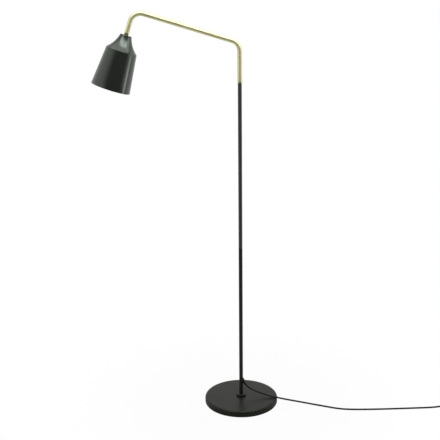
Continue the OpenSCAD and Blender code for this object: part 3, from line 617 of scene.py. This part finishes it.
def strap_line():
    """Points along the strap, from the coil's centre and the floor, each with its outward direction."""
    r = STRAP_BEND_R
    left, right, low, high = STRAP_IN + r, STRAP_OUT - r, STRAP_LOW + r, STRAP_HIGH - r
    line = []

    def straight(x0, z0, x1, z1, out, steps):
        for i in range(steps):
            t = i / steps
            line.append((x0 + (x1 - x0) * t, z0 + (z1 - z0) * t, out))

    def corner(x, z, start):
        for i in range(CORNER_STEPS):
            a = math.radians(start - 90 * i / CORNER_STEPS)
            line.append((x + r * math.cos(a), z + r * math.sin(a), (math.cos(a), math.sin(a))))

    straight(STRAP_START, STRAP_HIGH, right, STRAP_HIGH, (0, 1), START_STEPS)
    corner(right, high, 90)
    straight(STRAP_OUT, high, STRAP_OUT, low, (1, 0), SIDE_STEPS)
    corner(right, low, 0)
    straight(right, STRAP_LOW, left, STRAP_LOW, (0, -1), UNDER_STEPS)
    corner(left, low, -90)
    straight(STRAP_IN, low, STRAP_IN, high, (-1, 0), SIDE_STEPS)
    corner(left, high, 180)
    straight(left, STRAP_HIGH, STRAP_START + STRAP_LAP, STRAP_HIGH, (0, 1), LAP_STEPS)
    for i in range(len(line) - LAP_STEPS, len(line)):
        x, z, out = line[i]
        t = min(max((x - STRAP_RISE_FROM) / STRAP_RISE_L, 0), 1)
        line[i] = (x, z + (STRAP_T + STRAP_GAP) * eased(t), out)
    return line


def make_strap():
    at_x, at_y = COIL_X / MM, COIL_Y / MM
    line = strap_line()
    rings = []
    for i, (x, z, out) in enumerate(line):
        near = STRAP_END_R
        if i < START_STEPS:
            near = min(near, math.dist((x, z), line[0][:2]))
        elif i >= len(line) - LAP_STEPS:
            near = min(near, math.dist((x, z), line[-1][:2]))
        half = STRAP_W / 2 - STRAP_END_R + math.sqrt(STRAP_END_R ** 2 - (STRAP_END_R - near) ** 2)
        flat, thick = half - STRAP_EDGE, STRAP_T / 2 - STRAP_EDGE
        ring = []
        for sy, sn, start in ((1, 1, 0), (-1, 1, 90), (-1, -1, 180), (1, -1, 270)):
            for u, v in arc(sy * flat, sn * thick, STRAP_EDGE, start, start + 90, STRAP_EDGE_STEPS):
                ring.append(Vector((at_x + x + v * out[0], at_y + u, z + v * out[1])))
        rings.append(ring)
    caps = [[sum(ring, Vector()) / len(ring)] for ring in (rings[0], rings[-1])]
    lofted("tie_strap", [caps[0]] + rings + [caps[1]], "stand", STRAP, "black_plastic", ["coil_tie"])


make_plug()
make_switch()
make_strap()

run_path = smooth_path(RUN_ROUTE, ROUTE_STEPS)
cord_main = cord_piece("cord_main", run_path, ["cord_run"])
spare_path = smooth_path(LINK_ROUTE, ROUTE_STEPS) + coil_path() + smooth_path(TAIL_ROUTE, ROUTE_STEPS)
cord_spare = cord_piece("cord_spare", spare_path, ["cord_link", "cord_coil", "cord_tail"])


# Arm: an upright, a bend, a slanted run, a bend and a drop to the shade's neck
ARM_D, ARM_BORE, ARM_SIDES = 17.6, 15.6, 64
ARM_Z0, UPRIGHT_L, SLANT_L, DROP_L = 1244.1, 136.0, 386.0, 80.2
ARM_RISE, SHADE_LEAN, BEND_R = 17.2, 18.7, 38.0


def arm_line():
    """The arm's centre line, and the place of its end with Z towards the shade's mouth."""
    first, second = 90 - ARM_RISE, 90 + ARM_RISE - SHADE_LEAN
    cut_1 = BEND_R * math.tan(math.radians(first) / 2)
    cut_2 = BEND_R * math.tan(math.radians(second) / 2)
    at, turn = Vector((0, 0, ARM_Z0)), 0.0
    path = [at.copy()]
    for kind, amount, steps in (
        ("run", UPRIGHT_L - cut_1, 6), ("bend", first, 36), ("run", SLANT_L - cut_1 - cut_2, 12),
        ("bend", second, 44), ("run", DROP_L - cut_2, 5),
    ):
        step = amount / steps
        half = math.radians(step) / 2 if kind == "bend" else 0.0
        length = 2 * BEND_R * math.sin(half) if kind == "bend" else step
        for _ in range(steps):
            turn += half
            at = at + length * Vector((-math.sin(turn), 0, math.cos(turn)))
            turn += half
            path.append(at.copy())
    return path, Matrix.Translation(at) @ Matrix.Rotation(-turn, 4, "Y")


arm_path, NECK = arm_line()
swept(
    "arm_brass", arm_path, ARM_D / 2, "arm", BRASS, "brass_tube", ["arm_tube"],
    sides=ARM_SIDES, bore=ARM_BORE,
)


# Shade: flat neck, bell flare, crisp shoulder, cone and a rolled hem
SHADE_Z0, SHADE_H, FLARE_H, SHADE_WALL = 7.0, 193.5, 55.5, 1.0
NECK_R, SHOULDER_R, MOUTH_R, FLARE_A = 20.3, 55.0, 70.7, 14.0
NECK_HOLE_R, NECK_EDGE_R, SHOULDER_EDGE_R, HEM_H, HEM_R, HEM_STEP = 5.1, 1.5, 0.7, 5.0, 1.0, 0.5
SHOULDER_CUT_R, SHOULDER_CUT_Z, NECK_RING = 0.06, 0.03, 0.6
CONE_RINGS = (0.25, 0.5, 0.75, 1.0)
FLARE_STEPS, INNER_FLARE_STEPS, NECK_EDGE_STEPS, HEM_STEPS, SHADE_SIDES = 48, 32, 8, 10, 192


def shade_profile():
    """The shade's outer and inner profile from the neck, and the number of its outer points."""
    end_a = 2 * math.degrees(math.atan((SHOULDER_R - NECK_R) / FLARE_H)) - FLARE_A
    sin_a, sin_b = math.sin(math.radians(FLARE_A)), math.sin(math.radians(end_a))
    big_r = FLARE_H / (sin_b - sin_a)
    centre_r, centre_z = NECK_R + big_r * math.cos(math.radians(FLARE_A)), -big_r * sin_a
    cone_a = math.atan((MOUTH_R - SHOULDER_R) / (SHADE_H - FLARE_H))

    def flare(radius, start, stop, steps):
        return [(2 * centre_r - x, z) for x, z in arc(centre_r, centre_z, radius, start, stop, steps)]

    edge_a = math.degrees(math.asin((NECK_EDGE_R - centre_z) / big_r))
    neck_x = centre_r - big_r * math.cos(math.radians(edge_a)) - NECK_EDGE_R
    outer = [(NECK_HOLE_R, 0.0), (neck_x * NECK_RING, 0.0)]
    outer += arc(neck_x, NECK_EDGE_R, NECK_EDGE_R, -90, 0, NECK_EDGE_STEPS)[:-1]
    trim = math.degrees(SHOULDER_EDGE_R / big_r)
    outer += flare(big_r, edge_a, end_a - trim, FLARE_STEPS)
    outer.append((SHOULDER_R - SHOULDER_CUT_R, FLARE_H - SHOULDER_CUT_Z))
    cone_l = (SHADE_H - FLARE_H) / math.cos(cone_a) - HEM_R
    for along in [SHOULDER_EDGE_R] + [cone_l * share for share in CONE_RINGS]:
        outer.append((SHOULDER_R + math.sin(cone_a) * along, FLARE_H + math.cos(cone_a) * along))
    lip_x = MOUTH_R - HEM_R * math.cos(cone_a) - HEM_R * math.sin(cone_a)
    outer += arc(lip_x, SHADE_H - HEM_R, HEM_R, 0, 180, HEM_STEPS)[1:]
    hem_in = HEM_H * math.tan(cone_a)
    inner_x = MOUTH_R - SHADE_WALL / math.cos(cone_a) - hem_in
    inner = [(lip_x - HEM_R - hem_in, SHADE_H - HEM_H), (inner_x, SHADE_H - HEM_H - HEM_STEP)]
    inner_r = big_r + SHADE_WALL
    start_a = math.degrees(math.asin((SHADE_WALL - centre_z) / inner_r))
    knee = 1 + math.cos(math.radians(end_a) - cone_a)
    knee_z = FLARE_H + SHADE_WALL * (sin_b + math.sin(cone_a)) / knee
    knee_a = math.degrees(math.asin((knee_z - centre_z) / inner_r))
    inner += flare(inner_r, knee_a, start_a, INNER_FLARE_STEPS)
    inner.append((NECK_HOLE_R, SHADE_WALL))
    return [(r, z + SHADE_Z0) for r, z in outer + inner], len(outer)


profile, outer_count = shade_profile()
turned(
    "shade_spun", profile, NECK, "arm", [SHADE_PAINT, SHADE_WHITE], "black_metal", ["shade_shell"],
    sides=SHADE_SIDES, pick=lambda row: int(row > outer_count), sharp=28,
)


# Base cover and foot collar
BASE_R, BASE_TOP, BASE_EDGE_R, COVER_WALL, COVER_Z0 = 141.0, 23.5, 7.5, 1.2, 2.0
COVER_HOLE_R, CURL_R, TOP_RINGS, SIDE_RING_Z = 6.05, 0.6, (20, 60, 100, 125), 8.0
EDGE_STEPS, INNER_EDGE_STEPS, CURL_STEPS, BASE_SIDES = 14, 10, 10, 192
COLLAR_R, COLLAR_H, COLLAR_EDGE_R, POLE_SEAT_R, POLE_Z0 = 18.5, 7.5, 1.5, 7.35, 28.0
COLLAR_BEVEL, COLLAR_EDGE_STEPS, COLLAR_SIDES = 0.5, 8, 96
UPRIGHT = Matrix.Identity(4)


def base_profile():
    edge, edge_z = BASE_R - BASE_EDGE_R, BASE_TOP - BASE_EDGE_R
    outer = [(r, BASE_TOP) for r in (COVER_HOLE_R, *TOP_RINGS)]
    outer += arc(edge, edge_z, BASE_EDGE_R, 90, 0, EDGE_STEPS) + [(BASE_R, SIDE_RING_Z)]
    outer += arc(BASE_R - CURL_R, COVER_Z0 + CURL_R, CURL_R, 0, -180, CURL_STEPS)
    inner = arc(edge, edge_z, BASE_EDGE_R - COVER_WALL, 0, 90, INNER_EDGE_STEPS)
    return outer + inner + [(COVER_HOLE_R, BASE_TOP - COVER_WALL)]


def collar_profile():
    top, bevel = BASE_TOP + COLLAR_H, COLLAR_BEVEL
    found = [(COVER_HOLE_R, BASE_TOP), (COLLAR_R - bevel, BASE_TOP), (COLLAR_R, BASE_TOP + bevel)]
    found += arc(COLLAR_R - COLLAR_EDGE_R, top - COLLAR_EDGE_R, COLLAR_EDGE_R, 0, 90, COLLAR_EDGE_STEPS)
    found += [(POLE_SEAT_R + bevel, top), (POLE_SEAT_R, top - bevel)]
    return found + [(POLE_SEAT_R, POLE_Z0), (COVER_HOLE_R, POLE_Z0)]


turned(
    "base_pressed", base_profile(), UPRIGHT, "stand", BASE_PAINT, "black_metal", ["base_cover"],
    sides=BASE_SIDES,
)
turned(
    "collar_turned", collar_profile(), UPRIGHT, "stand", LOWER_PAINT, "black_metal", ["foot_collar"],
    sides=COLLAR_SIDES,
)


# Bulb glass
GLASS_Z, GLASS_L, GLOBE_R, GLASS_NECK_R, GLASS_WALL, GLOBE_A = 72.6, 80.0, 30.0, 12.0, 1.0, 125.0
GLASS_NECK_STEPS, GLOBE_STEPS, GLASS_SIDES = 20, 32, 96


def glass_profile():
    globe_z = GLASS_L - GLOBE_R
    join_r = GLOBE_R * math.sin(math.radians(GLOBE_A))
    join_z = globe_z + GLOBE_R * math.cos(math.radians(GLOBE_A))

    def outline(inset):
        found = []
        for i in range(GLASS_NECK_STEPS + 1):
            t = i / GLASS_NECK_STEPS
            swell = (eased(t) + t * t) / 2
            found.append((GLASS_NECK_R + (join_r - GLASS_NECK_R) * swell - inset, join_z * t))
        for i in range(1, GLOBE_STEPS + 1):
            a = math.radians(GLOBE_A * (1 - i / GLOBE_STEPS))
            radius = GLOBE_R - inset
            found.append((radius * math.sin(a), globe_z + radius * math.cos(a)))
        return found

    whole = outline(0) + outline(GLASS_WALL)[::-1]
    return [(r, z + GLASS_Z) for r, z in whole]


turned("bulb_opal", glass_profile(), NECK, "arm", OPAL, "opal_glass", ["bulb_glass"], sides=GLASS_SIDES)


# Strain relief where the cord leaves the pole: a tapered boot with moulded grooves, cut to the pole's side
POLE_R, GLAND_Z, GLAND_ROOT_R, GLAND_TIP_R = 7.3, 99.0, 7.0, 5.0
GLAND_GROOVES, GLAND_SIDES = 4, 64


def make_gland():
    start, stop = Vector((0, 0, GLAND_Z)), Vector(RUN_ROUTE[0]) / MM
    axis, length = (stop - start).normalized(), (stop - start).length
    side = axis.cross(Vector((0, 0, 1))).normalized()
    up = side.cross(axis)
    flat = axis.x ** 2 + axis.y ** 2
    rows = [(0.0, 0.0), (0.0, GLAND_ROOT_R)]
    rows += grooved(length, GLAND_ROOT_R, GLAND_TIP_R, GLAND_GROOVES) + [(length, 0.0)]

    def to_skin(p):
        """Distance along the boot from a point inside the pole to the pole's surface."""
        b = p.x * axis.x + p.y * axis.y
        return (math.sqrt(max(b * b - flat * (p.x ** 2 + p.y ** 2 - POLE_R ** 2), 0)) - b) / flat

    rings = []
    for distance, radius in rows:
        ring = circle(start, radius, side, up, GLAND_SIDES)
        rings.append([p + axis * (max(distance, to_skin(p)) if radius else distance) for p in ring])
    along = [distance for distance, _ in rows]
    girth = math.tau * GLAND_ROOT_R
    skin("gland_ribbed", rings, along, girth, "stand", RUBBER, "black_plastic", ["cord_gland"], sharp=50)


make_gland()


# Finishes of the solids that show as they are
for material, names in (
    (FELT, "base_felt"),
    (IRON, "base_weight"),
    (STEEL, "base_stud base_washer base_nut pole_joiner stop_pin"),
    (STEEL, "thrust_washer retaining_ring shade_washer switch_screws"),
    (LOWER_PAINT, "lower_pole"),
    (UPPER_PAINT, "upper_pole"),
    (SHEATH, "pole_lead arm_lead"),
    (TURNED_BRASS, "swivel_spindle arm_bush end_bush neck_nipple shade_nut screw_shell"),
    (NYLON, "friction_washer"),
    # The gasket's dark olive is painted shade of the brass end at the neck.
    (PAINTED_SHADE_OLIVE, "neck_gasket"),
    (BAKELITE, "holder_cap holder_body bulb_insulator"),
    (COPPER, "centre_contact"),
    (NICKEL, "bulb_cap bulb_tip plug_pins"),
    (PLASTIC, "switch_base switch_button"),
):
    for name in names.split():
        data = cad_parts[name].data
        data.materials.clear()
        data.materials.append(material)


# Studio: white paper floor, soft lamps, white backdrop and a dim room behind the camera
FLOOR_X0, FLOOR_X1, FLOOR_Y0, FLOOR_Y1, FLOOR_Z = -1.5, 1.7, -0.9, 1.7, -0.0003
FLOOR_OPENING_R, FLOOR_OPENING_SIDES = 0.136, 60
WHITE, PAPER, BOUNCE = (1, 1, 1, 1), (0.62, 0.62, 0.615, 1), (0.50, 0.50, 0.50, 1)
NEAR_R, FAR_R, WHITE_NEAR = 0.15, 0.85, 0.955
ROOM_LEVEL, WALL_LEVEL, FILL_SHARE = 0.15, 0.70, 0.55
COOL = (0.92, 0.975, 1.0)


def floor_mesh():
    """The floor with an opening under the middle of the base, so that the felt isn't black from below."""
    angles = [math.atan2(y, x) for x in (FLOOR_X0, FLOOR_X1) for y in (FLOOR_Y0, FLOOR_Y1)]
    angles += [math.tau * k / FLOOR_OPENING_SIDES - math.pi for k in range(FLOOR_OPENING_SIDES)]
    inner, outer = [], []
    for a in sorted(angles):
        c, s = math.cos(a), math.sin(a)
        reach = min(
            (FLOOR_X1 if c > 0 else FLOOR_X0) / c if abs(c) > TINY else math.inf,
            (FLOOR_Y1 if s > 0 else FLOOR_Y0) / s if abs(s) > TINY else math.inf,
        )
        inner.append((FLOOR_OPENING_R * c, FLOOR_OPENING_R * s, 0))
        outer.append((reach * c, reach * s, 0))
    count = len(angles)
    faces = [(k, count + k, count + (k + 1) % count, (k + 1) % count) for k in range(count)]
    mesh = bpy.data.meshes.new("floor")
    mesh.from_pydata(inner + outer, [], faces)
    return mesh


def floor_paper():
    """White to the camera and in reflections, and clear from below.

    Near the base the camera sees a little of the paper's own light, with the object's shadow, and a
    reflection all of it. Other rays meet a plain grey.
    """
    material = bpy.data.materials.new("floor_paper")
    material.use_nodes = True
    n = Nodes(material.node_tree)
    n.tree.nodes.clear()

    def shader(kind, colour):
        made = n.add(kind)
        n.feed(made.inputs["Color"], colour)
        return made.outputs[0]

    def mixed(amount, first, second):
        made = n.add("MixShader")
        n.feed_all(made, enumerate((amount, first, second)))
        return made.outputs[0]

    rays = n.add("LightPath").outputs
    shown = rays["Is Camera Ray"]
    for kind in ("Is Glossy Ray", "Is Transmission Ray"):
        shown = n.math("MAXIMUM", shown, rays[kind])
    reach = n.add("VectorMath", operation="LENGTH")
    n.feed(reach.inputs[0], n.add("TexCoord").outputs["Object"])
    white_near = n.ranged(rays["Is Glossy Ray"], WHITE_NEAR, 0.0, 0.0, 1.0)
    white = n.ranged(reach.outputs["Value"], white_near, 1.0, NEAR_R, FAR_R, soft=True)
    top = mixed(white, shader("BsdfDiffuse", PAPER), shader("Emission", WHITE))
    top = mixed(shown, shader("BsdfDiffuse", BOUNCE), top)
    below = n.add("NewGeometry").outputs["Backfacing"]
    whole = mixed(below, top, shader("BsdfTransparent", WHITE))
    n.feed(n.add("OutputMaterial").inputs["Surface"], whole)
    return material


def make_floor():
    mesh = floor_mesh()
    mesh.materials.append(floor_paper())
    floor = bpy.data.objects.new("floor", mesh)
    floor.location.z = FLOOR_Z
    bpy.context.scene.collection.objects.link(floor)


def make_world():
    """White to the camera and through glass. Reflections show the room: backdrop, side walls, ceiling."""
    world = bpy.data.worlds.new("studio")
    world.use_nodes = True
    bpy.context.scene.world = world
    n = Nodes(world.node_tree)
    n.tree.nodes.clear()

    def ramp(value, low, high, start, stop):
        return n.ranged(value, low, high, start, stop, soft=True)

    def mixed(amount, first, second):
        made = n.add("Mix", data_type="FLOAT")
        n.feed_all(made, ((0, amount), (2, first), (3, second)))
        return made.outputs[0]

    axes = n.add("SeparateXYZ")
    n.feed(axes.inputs[0], n.add("TexCoord").outputs["Generated"])
    x, y, z = axes.outputs
    backdrop = n.math("MULTIPLY", ramp(y, 0.0, 0.70, 0.0, 0.45), ramp(z, 1.0, 0.3, 0.55, 0.80))
    horizon = n.math("MULTIPLY", ramp(z, 0.0, 0.55, -0.18, -0.04), ramp(z, 1.0, 0.0, 0.03, 0.20))
    left = ramp(n.math("MULTIPLY", x, -1.0), 0.0, 1.0, 0.38, 0.95)
    right = ramp(x, 0.0, 0.90, 0.80, 0.97)
    walls = n.math("MULTIPLY", n.math("ADD", horizon, WALL_LEVEL), n.math("MAXIMUM", left, right))
    ceiling = ramp(z, 0.0, 1.4, 0.62, 0.92)
    room = n.math("MAXIMUM", n.math("MAXIMUM", backdrop, walls), ceiling)
    room = n.math("ADD", room, ROOM_LEVEL)
    rays = n.add("LightPath").outputs
    seen = n.math("MAXIMUM", rays["Is Camera Ray"], rays["Is Transmission Ray"])
    unseen = mixed(rays["Is Glossy Ray"], n.math("MULTIPLY", room, FILL_SHARE), room)
    light = n.add("Background")
    n.feed_all(light, (("Color", WHITE), ("Strength", mixed(seen, unseen, 1.0))))
    n.feed(n.add("OutputWorld").inputs["Surface"], light.outputs[0])


def softbox(name, at, aim, width, height, radiance, colour=(1, 1, 1), roll=0):
    """A rectangular lamp at a place, turned towards its aim, with its roll in degrees."""
    data = bpy.data.lights.new(name, "AREA")
    data.shape, data.size, data.size_y = "RECTANGLE", width, height
    data.energy = radiance * math.pi * width * height
    data.color = colour
    lamp = bpy.data.objects.new(name, data)
    lamp.location = at
    lamp.visible_camera = False
    facing = (Vector(aim) - Vector(at)).to_track_quat("-Z", "Y").to_matrix()
    lamp.rotation_euler = (facing @ Matrix.Rotation(math.radians(roll), 3, "Z")).to_euler()
    bpy.context.scene.collection.objects.link(lamp)


make_floor()
make_world()
softbox(
    "overhead", at=(-0.22, -0.88, 2.70), aim=(-0.42, 0.0, 1.38),
    width=3.0, height=0.8, radiance=3.7, colour=COOL, roll=-12,
)
softbox(
    "right_panel", at=(0.57, -0.24, 1.97), aim=(-0.42, -0.03, 1.38),
    width=0.8, height=0.9, radiance=1.7, colour=COOL,
)
softbox(
    "right_strip", at=(1.55, -0.22, 0.62), aim=(-0.4, 0.0, 1.0),
    width=0.45, height=0.8, radiance=2.1,
)
bpy.context.scene.view_settings.view_transform = "Standard"
